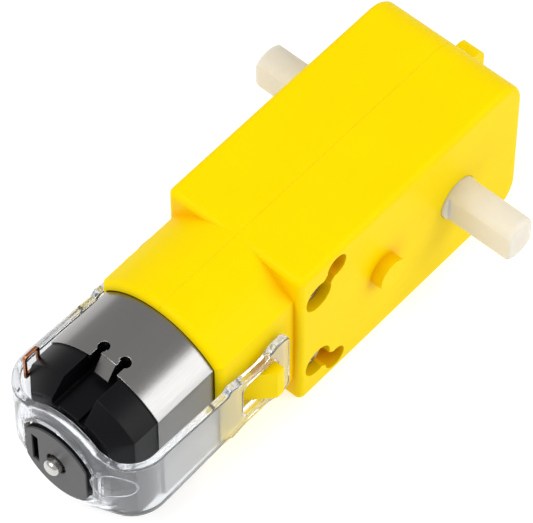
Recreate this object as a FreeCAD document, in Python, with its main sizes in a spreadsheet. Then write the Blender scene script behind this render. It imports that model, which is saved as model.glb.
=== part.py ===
"""Right-angle geared DC motor, in millimetres.

Frame: the origin is on the output shaft's axis, midway between its two ends.
+X points from the motor to the front mounting tab, Y runs along the output shaft, +Z is up.
Angles of gear teeth are measured in the XZ plane, from +X towards +Z.
"""
import FreeCAD, Part
import math
import os
import re

import Sketcher

DOC = FreeCAD.newDocument("geared_dc_motor")
SHEET = DOC.addObject("Spreadsheet::Sheet", "Dimensions")

DIMENSIONS = {
    # gearcase
    "case_rear": 26.2,
    "case_front": 10.8,
    "case_width": 19.0,
    "case_height": 22.5,
    "case_wall": 1.4,
    "end_wall": 1.4,
    "top_wall": 1.5,
    "front_corner": 4.0,
    "case_edge": 0.8,
    "bulkhead_rear": 27.3,
    "neck_rear": 37.9,
    "neck_width": 17.0,
    "tab_length": 5.2,
    "tab_height": 6.4,
    "tab_thickness": 2.6,
    "tab_hole": 3.0,
    "tab_round": 1.5,
    "mount_offset": 20.4,
    "mount_spacing": 17.5,
    "mount_hole": 3.0,
    "mount_post": 2.2,
    "screw_offset": 23.3,
    "screw_spacing": 12.4,
    "screw_post": 1.6,
    "recess_depth": 2.5,
    "recess_radius": 2.0,
    "recess_post": 2.7,
    "recess_joint": 1.8,
    "recess_joint_depth": 1.5,
    "boss_offset": 12.6,
    "boss_diameter": 4.0,
    "boss_height": 1.5,
    "hook_rear": 35.2,
    "hook_front": 30.6,
    "hook_rise": 2.5,
    "hook_height": 4.7,
    "hook_crest": 1.0,
    "seat_gap": 0.1,
    "shaft_gap": 0.05,
    "axle_cover": 0.6,
    "pin_bevel": 0.15,
    "tool_excess": 1.0,
    # screws
    "screw_length": 13.5,
    "screw_radius": 0.9,
    "screw_head_radius": 1.7,
    "screw_head_height": 1.5,
    "screw_head_round": 0.35,
    "cross_length": 2.0,
    "cross_width": 0.45,
    "cross_depth": 0.7,
    # output shaft
    "shaft_length": 36.8,
    "shaft_radius": 2.7,
    "shaft_flats": 3.7,
    "shaft_end_round": 0.5,
    "flat_start": 0.4,
    "collar_flats": 6.6,
    "collar_near": 4.1,
    "collar_far": 7.4,
    "bearing_gap": 0.05,
    "sleeve_radius": 3.5,
    "washer_thickness": 0.45,
    "washer_radius": 4.3,
    "washer_gap": 0.1,
    # gear train
    "output_teeth": 36,
    "small_teeth": 9,
    "idler_teeth": 27,
    "crown_teeth": 32,
    "pinion_teeth": 8,
    "crown_offset": 17.6,
    "crown_back": 3.5,
    "crown_pinion_end": 3.5,
    "idler_offset": 9.8,
    "idler_rise": 3.0,
    "idler_near": 1.2,
    "idler_step": 3.2,
    "idler_far": 7.5,
    "output_near": 4.3,
    "output_far": 7.3,
    "pinion_front": 22.3,
    "pinion_rear": 25.4,
    "crown_radius": 6.0,
    "crown_tooth_half": 0.5,
    "tooth_sink": 0.2,
    "axle_radius": 0.75,
    "axle_boss": 1.5,
    "gear_gap": 0.25,
    "running_gap": 0.05,
    "tooth_shift": 0.4,
    "tooth_thinning": 0.055,
    # motor
    "can_front": 27.4,
    "can_rear": 46.5,
    "can_radius": 10.1,
    "can_width": 15.2,
    "can_wall": 0.8,
    "motor_boss_radius": 3.05,
    "motor_boss_front": 26.0,
    "rotor_shaft_radius": 1.0,
    "rotor_shaft_front": 22.0,
    "rotor_shaft_rear": 55.5,
    "rotor_shaft_dome": 0.6,
    "bush_radius": 2.0,
    "bush_gap": 0.03,
    "bush_overhang": 1.0,
    "cap_rear": 52.0,
    "cap_boss_rear": 54.3,
    "cap_boss_radius": 4.9,
    "cap_boss_width": 8.6,
    "cap_radius": 9.9,
    "cap_width": 14.9,
    "cap_plug_front": 43.5,
    "cap_cavity": 5.8,
    "cavity_floor": 0.4,
    "plug_gap": 0.05,
    "cap_bevel": 2.0,
    "channel_width": 4.6,
    "channel_floor": 6.4,
    "slot_place": 3.0,
    "slot_width": 0.9,
    "slot_height": 4.6,
    "slot_depth": 1.2,
    "bush_front": 50.6,
    "bush_rear": 53.8,
    "shaft_opening": 1.35,
    "rim_notch_width": 0.8,
    "rim_notch_depth": 1.7,
    "rim_notch_place": 1.5,
    "rim_notch_end": 0.7,
    "rim_tab_half": 1.0,
    "rim_tab_start": 44.9,
    "rim_tab_bend": 45.7,
    "rim_tab_rear": 47.0,
    "rim_tab_tip": 8.2,
    "rim_tab_thickness": 0.65,
    "rim_tab_sink": 0.1,
    "channel_start": 44.0,
    "rib_half": 1.4,
    "rib_height": 0.7,
    "brush_width": 2.2,
    "brush_thickness": 0.25,
    "brush_gap": 0.1,
    "brush_inset": 0.6,
    "brush_end_gap": 0.65,
    "terminal_thickness": 0.4,
    "terminal_place": 7.05,
    "terminal_front": 48.7,
    "terminal_rear": 51.0,
    "terminal_root": 5.0,
    "terminal_tip": 9.0,
    "terminal_eye": 0.6,
    "terminal_eye_inset": 1.1,
    "core_radius": 6.2,
    "core_front": 31.5,
    "core_rear": 41.0,
    "core_hub": 2.2,
    "arm_width": 2.4,
    "shoe_inner": 5.1,
    "shoe_turn": 25.0,
    "slot_gap": 1.2,
    "coil_overhang": 1.4,
    "coil_inner": 2.5,
    "coil_outer": 4.4,
    "coil_width": 4.2,
    "coil_round": 0.6,
    "commutator_front": 43.8,
    "commutator_rear": 47.4,
    "commutator_radius": 2.2,
    "sleeve_wall": 0.6,
    "sleeve_gap": 0.3,
    "sleeve_overhang": 0.2,
    "segment_gap": 0.35,
    "magnet_inner": 6.6,
    "magnet_outer": 9.25,
    "magnet_half_width": 5.9,
    "spring_wire": 0.3,
    "spring_depth": 6.25,
    "spring_height": 3.4,
    "spring_front": 29.4,
    "spring_round": 1.2,
    "spring_inset": 1.0,
    "magnet_front": 30.0,
    "magnet_rear": 43.0,
    # retaining strap
    "strap_thickness": 1.0,
    "strap_front": 28.3,
    "strap_side_gap": 0.4,
    "strap_back_gap": 0.1,
    "strap_corner": 4.5,
    "strap_plate_radius": 7.0,
    "strap_rear_half": 4.6,
    "strap_middle_half": 4.1,
    "strap_slope_rear": 47.0,
    "clip_rear": 38.4,
    "clip_shoulder": 37.8,
    "clip_shoulder_half": 4.8,
    "clip_waist_rear": 34.6,
    "clip_waist_front": 32.6,
    "clip_waist_half": 4.2,
    "clip_end_rear": 30.4,
    "clip_end_half": 5.0,
    "clip_end_round": 2.0,
    "strap_window_gap": 0.4,
    "clip_window_rear": 35.7,
    "clip_window_front": 30.4,
    "clip_window_height": 5.4,
}

for row, (alias, number) in enumerate(DIMENSIONS.items(), start=1):
    SHEET.set(f"A{row}", alias)
    SHEET.set(f"B{row}", str(number))
    SHEET.setAlias(f"B{row}", alias)
DOC.recompute()

PIECES = []
X_AXIS = FreeCAD.Vector(1, 0, 0)
Y_AXIS = FreeCAD.Vector(0, 1, 0)
Z_AXIS = FreeCAD.Vector(0, 0, 1)
ORIGIN = FreeCAD.Vector(0, 0, 0)
SAME_PLACE = 1e-3
SAME_WAY = 0.999
LEAST_CUT = 1e-4
TURNS = {
    "X": FreeCAD.Rotation(Y_AXIS, 90),
    "Y": FreeCAD.Rotation(X_AXIS, -90),
    "Z": FreeCAD.Rotation(),
}


def size(text):
    """The value of an expression made of the sheet's names."""
    return float(SHEET.evalExpression(str(text)))


def link(text):
    """The same expression, as another object of the document writes it."""
    def named(match):
        word = match.group(0)
        return f"Dimensions.{word}" if word in DIMENSIONS else word
    return re.sub(r"[a-z][a-z_]*", named, str(text))


def bind(thing, **sizes):
    """Bind properties to the sheet. Placement.Base.x is written Placement__Base__x."""
    for name, text in sizes.items():
        thing.setExpression(name.replace("__", "."), link(text))


def keep(thing, label):
    """Make an object one of the assembly's nodes."""
    thing.Label = label
    PIECES.append(thing)
    return thing


# ---------------------------------------------------------------- primitives and booleans

def box(name, x, y, z):
    """A box between pairs of expressions."""
    thing = DOC.addObject("Part::Box", name)
    bind(
        thing,
        Length=f"({x[1]}) - ({x[0]})",
        Width=f"({y[1]}) - ({y[0]})",
        Height=f"({z[1]}) - ({z[0]})",
        Placement__Base__x=x[0],
        Placement__Base__y=y[0],
        Placement__Base__z=z[0],
    )
    return thing


def rod(name, axis, radius, span, centre=("0", "0")):
    """A cylinder along an axis, from span[0] to span[1], with its centre in the other two axes."""
    thing = DOC.addObject("Part::Cylinder", name)
    thing.Placement = FreeCAD.Placement(ORIGIN, TURNS[axis])
    bind(thing, Radius=radius, Height=f"({span[1]}) - ({span[0]})")
    places = iter(centre)
    for letter in "XYZ":
        place = span[0] if letter == axis else next(places)
        thing.setExpression(f"Placement.Base.{letter.lower()}", link(place))
    return thing


def fuse(name, things):
    joined = DOC.addObject("Part::MultiFuse", name)
    joined.Shapes = things
    return joined


def common(name, things):
    shared = DOC.addObject("Part::MultiCommon", name)
    shared.Shapes = things
    return shared


def cut(name, base, tools):
    """The base less all its tools."""
    left = DOC.addObject("Part::Cut", name)
    left.Base = base
    left.Tool = tools[0] if len(tools) == 1 else fuse(f"{name}_tools", tools)
    return left


def rounded(name, base, radius, wanted):
    """Round the edges that a test picks out."""
    DOC.recompute()
    thing = DOC.addObject("Part::Fillet", name)
    thing.Base = base
    amount = size(radius)
    picked = [i + 1 for i, edge in enumerate(base.Shape.Edges) if wanted(edge)]
    thing.Edges = [(number, amount, amount) for number in picked]
    return thing


def runs_along(edge, letter):
    """True for a straight edge along one axis."""
    if edge.Curve.TypeId != "Part::GeomLine":
        return False
    return abs(getattr(edge.tangentAt(edge.FirstParameter), letter)) > SAME_WAY


# ---------------------------------------------------------------- bodies, sketches and features

def body(label):
    return keep(DOC.addObject("PartDesign::Body", label), label)


def sketch(piece, name, role, offset="0"):
    """A sketch on one of the body's origin planes, moved along that plane's normal."""
    drawing = piece.newObject("Sketcher::SketchObject", name)
    planes = {plane.Role: plane for plane in piece.Origin.OriginFeatures}
    drawing.AttachmentSupport = [(planes[role], "")]
    drawing.MapMode = "FlatFace"
    bind(drawing, AttachmentOffset__Base__z=offset)
    return drawing


def fix_point(drawing, geometry, which, place):
    """Fix a point at two expressions, measured from the sketch's origin."""
    for kind, text in zip(("DistanceX", "DistanceY"), place):
        constraint = Sketcher.Constraint(kind, -1, 1, geometry, which, size(text))
        number = drawing.addConstraint(constraint)
        if re.search("[a-z]", str(text)):
            drawing.setExpression(f"Constraints[{number}]", link(text))


def polygon(drawing, places):
    """A closed outline of straight lines."""
    spots = [FreeCAD.Vector(size(a), size(b), 0) for a, b in places]
    first = drawing.GeometryCount
    count = len(spots)
    for i in range(count):
        drawing.addGeometry(Part.LineSegment(spots[i], spots[(i + 1) % count]), False)
    for i in range(count):
        after = first + (i + 1) % count
        drawing.addConstraint(Sketcher.Constraint("Coincident", first + i, 2, after, 1))
    for i, place in enumerate(places):
        fix_point(drawing, first + i, 1, place)
    return drawing


def rectangle(drawing, across, up):
    """A rectangle between two pairs of expressions."""
    corners = [(across[0], up[0]), (across[1], up[0]), (across[1], up[1]), (across[0], up[1])]
    return polygon(drawing, corners)


def circle(drawing, radius, place=("0", "0")):
    spot = FreeCAD.Vector(size(place[0]), size(place[1]), 0)
    number = drawing.addGeometry(Part.Circle(spot, Z_AXIS, size(radius)), False)
    constraint = drawing.addConstraint(Sketcher.Constraint("Radius", number, size(radius)))
    drawing.setExpression(f"Constraints[{constraint}]", link(radius))
    fix_point(drawing, number, 3, place)
    return drawing


def flatted_circle(drawing, radius, half_width):
    """A circle about the origin with two flats, at plus and minus half_width on the first axis."""
    r = size(radius)
    flat = size(half_width)
    turn = math.acos(flat / r)
    right = [FreeCAD.Vector(flat, -r * math.sin(turn), 0), FreeCAD.Vector(flat, r * math.sin(turn), 0)]
    left = [FreeCAD.Vector(-flat, r * math.sin(turn), 0), FreeCAD.Vector(-flat, -r * math.sin(turn), 0)]
    round_part = Part.Circle(ORIGIN, Z_AXIS, r)
    first = drawing.GeometryCount
    drawing.addGeometry(Part.LineSegment(*right), False)
    drawing.addGeometry(Part.ArcOfCircle(round_part, turn, math.pi - turn), False)
    drawing.addGeometry(Part.LineSegment(*left), False)
    drawing.addGeometry(Part.ArcOfCircle(round_part, math.pi + turn, 2 * math.pi - turn), False)
    for i in range(4):
        after = first + (i + 1) % 4
        drawing.addConstraint(Sketcher.Constraint("Coincident", first + i, 2, after, 1))
    for line in (first, first + 2):
        drawing.addConstraint(Sketcher.Constraint("Vertical", line))
    for arc in (first + 1, first + 3):
        drawing.addConstraint(Sketcher.Constraint("Coincident", arc, 3, -1, 1))
    sizes = (
        Sketcher.Constraint("Radius", first + 1, r),
        Sketcher.Constraint("DistanceX", -1, 1, first, 1, flat),
        Sketcher.Constraint("DistanceX", first + 2, 1, -1, 1, flat),
    )
    for constraint, text in zip(sizes, (radius, half_width, half_width)):
        number = drawing.addConstraint(constraint)
        drawing.setExpression(f"Constraints[{number}]", link(text))
    return drawing


def pad(piece, drawing, length, backwards=False, both=False):
    feature = piece.newObject("PartDesign::Pad", f"{drawing.Name}_pad")
    feature.Profile = drawing
    feature.Reversed = backwards
    feature.Midplane = both
    bind(feature, Length=length)
    DOC.recompute()
    return feature


def pocket(piece, drawing, depth=None, backwards=False, both=False):
    """Cut a sketch's outline out, to a depth or right through, and make sure that it cuts."""
    before = piece.Shape.Volume
    feature = piece.newObject("PartDesign::Pocket", f"{drawing.Name}_pocket")
    feature.Profile = drawing
    feature.Reversed = backwards
    feature.Midplane = both
    if depth is None:
        feature.Type = "ThroughAll"
    else:
        bind(feature, Length=depth)
    DOC.recompute()
    if piece.Shape.Volume > before - LEAST_CUT:
        raise ValueError(f"{feature.Name} cuts nothing")
    return feature


def around(piece, feature, axis, count):
    """Repeat a feature around one of the body's axes."""
    ring = piece.newObject("PartDesign::PolarPattern", f"{feature.Name}_ring")
    axes = {line.Role: line for line in piece.Origin.OriginFeatures}
    ring.Originals = [feature]
    ring.Axis = (axes[axis], [""])
    ring.Angle = 360
    ring.Occurrences = count
    piece.Tip = ring
    DOC.recompute()
    return ring


def soften(piece, kind, amount, wanted):
    """Round ("Fillet") or bevel ("Chamfer") the edges of a body that a test picks out."""
    base = piece.Tip
    names = [f"Edge{i + 1}" for i, edge in enumerate(base.Shape.Edges) if wanted(edge)]
    feature = piece.newObject(f"PartDesign::{kind}", f"{piece.Name}_{kind}")
    feature.Base = (base, names)
    bind(feature, **{"Radius" if kind == "Fillet" else "Size": amount})
    DOC.recompute()
    if "Invalid" in feature.State or "Error" in feature.State:
        raise ValueError(f"{feature.Name} failed")
    return feature


def at_level(edge, letter, level):
    """True for an edge that lies all in one plane across an axis."""
    bounds = edge.BoundBox
    low = getattr(bounds, f"{letter.upper()}Min")
    high = getattr(bounds, f"{letter.upper()}Max")
    return abs(low - level) < SAME_PLACE and abs(high - level) < SAME_PLACE


# ---------------------------------------------------------------- gearcase

def case_outside():
    """Box with large front corners, the round-topped neck behind it, and the strap's hooks."""
    block = box(
        "case_block",
        ("-case_rear", "case_front"),
        ("-case_width / 2", "case_width / 2"),
        ("-case_height / 2", "case_height / 2"),
    )
    side = size("case_width / 2")
    block = rounded(
        "case_front_corners", block, "front_corner",
        lambda edge: runs_along(edge, "y") and edge.CenterOfMass.x > 0,
    )
    block = rounded(
        "case_rear_corners", block, "case_edge",
        lambda edge: runs_along(edge, "y") and edge.CenterOfMass.x < -size("case_front"),
    )
    block = rounded(
        "case_side_edges", block, "case_edge",
        lambda edge: abs(abs(edge.CenterOfMass.y) - side) < SAME_PLACE,
    )
    barrel = rod("neck_barrel", "X", "case_height / 2", ("-neck_rear", "-case_rear + case_wall"))
    slab = box(
        "neck_slab",
        ("-neck_rear", "case_wall - case_rear"),
        ("-neck_width / 2", "neck_width / 2"),
        ("-case_height", "case_height"),
    )
    neck = rounded(
        "neck_rim", common("neck_body", [barrel, slab]), "case_edge",
        lambda edge: at_level(edge, "x", -size("neck_rear")),
    )
    hooks = [hook("near_hook", -1), hook("far_hook", 1)]
    return fuse("case_outside", [block, neck] + hooks)


def hook(name, side_sign):
    """A wedge on the neck's flat, rising towards the front, that the strap's window drops over."""
    thing = DOC.addObject("Part::Wedge", name)
    root = "neck_width / 2 - case_edge"
    crest = "neck_width / 2 + hook_rise"
    wide = {"min": "-hook_rear", "max": "-hook_front"}
    narrow = {"min": "-hook_front - hook_crest", "max": "-hook_front"}
    if side_sign > 0:
        bind(thing, Ymin=root, Ymax=crest)
        first, last = wide, narrow
    else:
        bind(thing, Ymin=f"-({crest})", Ymax=f"-({root})")
        first, last = narrow, wide
    bind(thing, Xmin=first["min"], Xmax=first["max"], X2min=last["min"], X2max=last["max"])
    half = "hook_height / 2"
    bind(thing, Zmin=f"-{half}", Zmax=half, Z2min=f"-{half}", Z2max=half)
    return thing


def case_hollows():
    """Everything cut out of the outside: the gear chamber, the motor's seat and the opening between."""
    chamber = box(
        "gear_chamber",
        ("-case_rear + end_wall", "case_front - end_wall"),
        ("-case_width / 2 + case_wall", "case_width / 2 - case_wall"),
        ("-case_height / 2 + top_wall", "case_height / 2 - top_wall"),
    )
    chamber = rounded(
        "gear_chamber_round", chamber, "front_corner - end_wall",
        lambda edge: runs_along(edge, "y"),
    )
    seat = common("motor_seat", [
        rod("seat_round", "X", "can_radius + seat_gap", ("-neck_rear - tool_excess", "-bulkhead_rear")),
        box(
            "seat_flats",
            ("-neck_rear - tool_excess", "-bulkhead_rear"),
            ("-can_width / 2 - seat_gap", "can_width / 2 + seat_gap"),
            ("-case_height", "case_height"),
        ),
    ])
    opening = rod(
        "boss_opening", "X", "motor_boss_radius + seat_gap",
        ("-bulkhead_rear - tool_excess", "-case_rear + end_wall + tool_excess"),
    )
    return [chamber, seat, opening]


def case_posts(half):
    """Posts and bearing bosses that stand inside one half."""
    inside = "case_width / 2 - case_wall / 2"
    near = half == "near"
    posts = []
    for level in ("1", "-1"):
        tag = f"{half}_{'upper' if level == '1' else 'lower'}"
        span = (f"-({inside})", "0") if near else ("0", inside)
        posts.append(rod(
            f"{tag}_screw_post", "Y", "screw_post", span,
            ("-screw_offset", f"{level} * screw_spacing / 2"),
        ))
        posts.append(rod(
            f"{tag}_mount_post", "Y", "mount_post", span,
            ("-mount_offset", f"{level} * mount_spacing / 2"),
        ))
        if near:
            posts.append(rod(
                f"{tag}_recess_post", "Y", "recess_post", (f"-({inside})", "-crown_back - gear_gap"),
                ("-screw_offset", f"{level} * screw_spacing / 2"),
            ))
    if near:
        crown_span = (f"-({inside})", "-crown_back - gear_gap")
        idler_span = (f"-({inside})", "idler_near - gear_gap")
    else:
        crown_span = ("crown_pinion_end + gear_gap", inside)
        idler_span = ("idler_far + gear_gap", inside)
    posts.append(rod(f"{half}_crown_boss", "Y", "axle_boss", crown_span, ("-crown_offset", "0")))
    posts.append(rod(f"{half}_idler_boss", "Y", "axle_boss", idler_span, ("-idler_offset", "idler_rise")))
    if near:
        posts.append(rod(
            "near_shaft_sleeve", "Y", "sleeve_radius",
            (f"-({inside})", "collar_near - washer_thickness - 2 * bearing_gap"),
        ))
    else:
        posts.append(rod(
            "far_shaft_seat", "Y", "washer_radius",
            ("collar_far + washer_thickness + 2 * bearing_gap", inside),
        ))
    return posts


def case_holes(half):
    """Holes along Y that go through one half."""
    near = half == "near"
    face = "case_width / 2"
    whole = (f"-{face} - tool_excess", f"{face} + tool_excess")
    holes = [rod(f"{half}_shaft_hole", "Y", "shaft_radius + shaft_gap", whole)]
    axle_end = "case_width / 2 - axle_cover"
    axle_span = (f"-({axle_end})", "idler_near") if near else ("crown_pinion_end", axle_end)
    for word, place in (("crown", ("-crown_offset", "0")), ("idler", ("-idler_offset", "idler_rise"))):
        holes.append(rod(f"{half}_{word}_axle_hole", "Y", "axle_radius", axle_span, place))
    for level in ("1", "-1"):
        tag = f"{half}_{'upper' if level == '1' else 'lower'}"
        screw_place = ("-screw_offset", f"{level} * screw_spacing / 2")
        mount_place = ("-mount_offset", f"{level} * mount_spacing / 2")
        holes.append(rod(f"{tag}_mount_hole", "Y", "mount_hole / 2", whole, mount_place))
        if near:
            seat = f"-{face} + recess_depth"
            outer = f"-{face} - tool_excess"
            holes.append(rod(f"{tag}_screw_recess", "Y", "recess_radius", (outer, seat), screw_place))
            pilot = (f"-{face}", "tool_excess")
            holes.append(rod(f"{tag}_screw_hole", "Y", "screw_radius", pilot, screw_place))
            holes.append(recess_joint(tag, level))
        else:
            tip = f"-{face} + recess_depth + screw_length"
            holes.append(rod(f"{tag}_screw_hole", "Y", "screw_radius", ("-tool_excess", tip), screw_place))
    return holes


def recess_joint(tag, level):
    """The shallow channel between a screw's recess and the mounting hole beside it."""
    run = size("screw_offset - mount_offset")
    rise = size("(mount_spacing - screw_spacing) / 2")
    turn = math.degrees(math.atan2(rise, run)) * float(level)
    along = math.sin(math.radians(turn))
    up = math.cos(math.radians(turn))
    channel = DOC.addObject("Part::Box", f"{tag}_recess_joint")
    channel.Placement = FreeCAD.Placement(ORIGIN, FreeCAD.Rotation(Y_AXIS, -turn))
    bind(
        channel,
        Length=math.hypot(run, rise),
        Width="recess_joint_depth + tool_excess",
        Height="recess_joint",
        Placement__Base__x=f"-screw_offset + recess_joint / 2 * {along}",
        Placement__Base__y="-case_width / 2 - tool_excess",
        Placement__Base__z=f"{level} * screw_spacing / 2 - recess_joint / 2 * {up}",
    )
    return channel


def case_half(half, label, outside, hollows):
    """One moulded half: the outside less the hollows, on its own side of Y = 0, with its own posts."""
    near = half == "near"
    own_side = box(
        f"{half}_side",
        ("-neck_rear - tool_excess", "case_front + tool_excess"),
        ("-case_width", "0") if near else ("0", "case_width"),
        ("-case_height", "case_height"),
    )
    shell = cut(f"{half}_shell", common(f"{half}_outside", [outside, own_side]), hollows)
    solids = [shell] + case_posts(half)
    if near:
        solids.append(rod(
            "locating_boss", "Y", "boss_diameter / 2",
            ("-case_width / 2 - boss_height", "-case_width / 2 + case_wall / 2"), ("-boss_offset", "0"),
        ))
    else:
        solids.append(front_tab())
    joined = fuse(f"{half}_solid", solids)
    return keep(cut(label, joined, case_holes(half)), label)


def front_tab():
    """The mounting tab at the front, with its corners rounded and a hole along Y."""
    plate = box(
        "tab_plate",
        ("case_front - end_wall / 2", "case_front + tab_length"),
        ("0", "tab_thickness"),
        ("-tab_height / 2", "tab_height / 2"),
    )
    tip = size("case_front + tab_length")
    plate = rounded(
        "tab_corners", plate, "tab_round",
        lambda edge: runs_along(edge, "y") and abs(edge.CenterOfMass.x - tip) < SAME_PLACE,
    )
    hole = rod(
        "tab_hole_cut", "Y", "tab_hole / 2", ("-tool_excess", "tab_thickness + tool_excess"),
        ("case_front + tab_length / 2", "0"),
    )
    return cut("tab", plate, [hole])


def gearcase():
    outside = case_outside()
    hollows = case_hollows()
    case_half("near", "gearcase_screw_half", outside, hollows)
    case_half("far", "gearcase_tab_half", outside, hollows)


def case_screws():
    """Two pan-head screws with a cross recess, head towards -Y, from the near half into the far one."""
    screws = []
    for level, word in (("1", "upper"), ("-1", "lower")):
        place = ("-screw_offset", f"{level} * screw_spacing / 2")
        seat = "-case_width / 2 + recess_depth"
        top = f"{seat} - screw_head_height"
        shank = rod(f"{word}_shank", "Y", "screw_radius", (seat, f"{seat} + screw_length"), place)
        head = rod(f"{word}_head", "Y", "screw_head_radius", (top, seat), place)
        head = rounded(
            f"{word}_head_round", head, "screw_head_round",
            lambda edge: at_level(edge, "y", size(top)),
        )
        bars = []
        for bar, wide, tall in (
            ("level", "cross_length", "cross_width"),
            ("upright", "cross_width", "cross_length"),
        ):
            bars.append(box(
                f"{word}_{bar}_cross",
                (f"{place[0]} - {wide} / 2", f"{place[0]} + {wide} / 2"),
                (f"{top} - tool_excess", f"{top} + cross_depth"),
                (f"{place[1]} - {tall} / 2", f"{place[1]} + {tall} / 2"),
            ))
        screws.append(cut(f"{word}_screw", fuse(f"{word}_screw_body", [shank, head]), bars))
    group = DOC.addObject("Part::Compound", "case_screws")
    group.Links = screws
    keep(group, "case_screws")


# ---------------------------------------------------------------- output shaft

def output_shaft():
    """Round nylon shaft with a hexagonal collar for the gear and two flats on each free end."""
    piece = body("output_shaft")
    round_part = circle(sketch(piece, "shaft_round", "XZ_Plane"), "shaft_radius")
    pad(piece, round_part, "shaft_length", both=True)
    soften(piece, "Fillet", "shaft_end_round", lambda edge: edge.Curve.TypeId == "Part::GeomCircle")
    collar = sketch(piece, "shaft_collar", "XZ_Plane", "-collar_near")
    corner = "collar_flats / 2 / cos(30)"
    polygon(collar, [(f"{corner} * sin({turn})", f"{corner} * cos({turn})") for turn in range(0, 360, 60)])
    pad(piece, collar, "collar_far - collar_near", backwards=True)
    for word, side in (("near", "1"), ("far", "-1")):
        for edge_word, across in (("front", "1"), ("rear", "-1")):
            start = f"{side} * (case_width / 2 + flat_start)"
            flat = sketch(piece, f"{word}_{edge_word}_flat", "XZ_Plane", start)
            rectangle(
                flat,
                (f"{across} * shaft_flats / 2", f"{across} * (shaft_radius + tool_excess)"),
                ("-shaft_radius - tool_excess", "shaft_radius + tool_excess"),
            )
            pocket(piece, flat, "shaft_length", backwards=word == "near")


def shaft_washers():
    """A thin washer at each end of the collar."""
    rings = []
    for word, start in (
        ("near", "collar_near - bearing_gap - washer_thickness"),
        ("far", "collar_far + bearing_gap"),
    ):
        span = (start, f"{start} + washer_thickness")
        disc = rod(f"{word}_washer_disc", "Y", "washer_radius - washer_gap", span)
        hole = rod(f"{word}_washer_hole", "Y", "shaft_radius + shaft_gap", span)
        rings.append(cut(f"{word}_washer", disc, [hole]))
    group = DOC.addObject("Part::Compound", "shaft_washers")
    group.Links = rings
    keep(group, "shaft_washers")


# ---------------------------------------------------------------- gear train

PRESSURE_ANGLE = math.radians(20)
ADDENDUM = 0.85
DEDENDUM = 1.25
FLANK_POINTS = 5


def polar(radius, turn):
    return FreeCAD.Vector(radius * math.cos(turn), 0, radius * math.sin(turn))


def involute(turn):
    return math.tan(turn) - turn


def gear(teeth, module, shift, phase, start, end):
    """An involute gear about the Y axis, with a tooth centred at the angle phase, from y = start to end."""
    pitch = teeth * module / 2
    base = pitch * math.cos(PRESSURE_ANGLE)
    tip = pitch + (ADDENDUM + shift) * module
    root = pitch - (DEDENDUM - shift) * module
    half = (math.pi / 2 + 2 * shift * math.tan(PRESSURE_ANGLE)) / teeth - size("tooth_thinning") / pitch

    def half_tooth(radius):
        return half + involute(PRESSURE_ANGLE) - involute(math.acos(min(1.0, base / radius)))

    foot = max(base, root)
    radii = [foot + (tip - foot) * i / (FLANK_POINTS - 1) for i in range(FLANK_POINTS)]
    step = 2 * math.pi / teeth
    edges = []
    for i in range(teeth):
        middle = phase + i * step
        rise = [polar(r, middle - half_tooth(r)) for r in radii]
        fall = [polar(r, middle + half_tooth(r)) for r in reversed(radii)]
        low = polar(root, middle - half_tooth(foot))
        high = polar(root, middle + half_tooth(foot))
        following = polar(root, middle + step - half_tooth(foot))
        if foot > root:
            edges.append(Part.LineSegment(low, rise[0]).toShape())
        edges.append(curve(rise))
        edges.append(Part.Arc(rise[-1], polar(tip, middle), fall[0]).toShape())
        edges.append(curve(fall))
        if foot > root:
            edges.append(Part.LineSegment(fall[-1], high).toShape())
        edges.append(Part.Arc(high, polar(root, middle + step / 2), following).toShape())
    outline = Part.Face(Part.Wire(edges))
    solid = outline.extrude(FreeCAD.Vector(0, end - start, 0))
    solid.translate(FreeCAD.Vector(0, start, 0))
    return solid


def curve(points):
    line = Part.BSplineCurve()
    line.interpolate(points)
    return line.toShape()


def disc(radius, start, end):
    """A plain cylinder about the Y axis."""
    return Part.makeCylinder(radius, end - start, FreeCAD.Vector(0, start, 0), Y_AXIS)


def computed(label, solid, x="0", z="0"):
    """A node whose teeth no plain feature makes, placed on its axle."""
    thing = DOC.addObject("Part::Feature", label)
    thing.Shape = solid.removeSplitter()
    bind(thing, Placement__Base__x=x, Placement__Base__z=z)
    return keep(thing, label)


def crown_teeth(module, pinion_pitch, outer, inner, root_level):
    """The face gear's teeth: tapered bars that run outward along a radius and point towards +Y."""
    shift = size("tooth_shift")
    slope = math.tan(PRESSURE_ANGLE)
    at_pitch = module * (math.pi / 2 - 2 * shift * slope) - 2 * size("tooth_thinning")
    tip_level = -(pinion_pitch - (ADDENDUM - shift) * module)
    at_tip = at_pitch - 2 * (tip_level + pinion_pitch) * slope
    at_root = at_pitch + 2 * (-pinion_pitch - root_level) * slope
    sink = size("tooth_sink")
    count = int(size("crown_teeth"))
    corners = [
        FreeCAD.Vector(inner, root_level - sink, -at_root / 2),
        FreeCAD.Vector(inner, root_level, -at_root / 2),
        FreeCAD.Vector(inner, tip_level, -at_tip / 2),
        FreeCAD.Vector(inner, tip_level, at_tip / 2),
        FreeCAD.Vector(inner, root_level, at_root / 2),
        FreeCAD.Vector(inner, root_level - sink, at_root / 2),
    ]
    length = outer - inner + size("tool_excess")
    bar = Part.Face(Part.makePolygon(corners + corners[:1])).extrude(FreeCAD.Vector(length, 0, 0))
    bars = []
    for i in range(count):
        turned = bar.copy()
        turned.rotate(ORIGIN, Y_AXIS, 180 + 360 * i / count)
        bars.append(turned)
    trim = disc(outer, root_level - sink, tip_level)
    return [one.common(trim) for one in bars]


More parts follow.
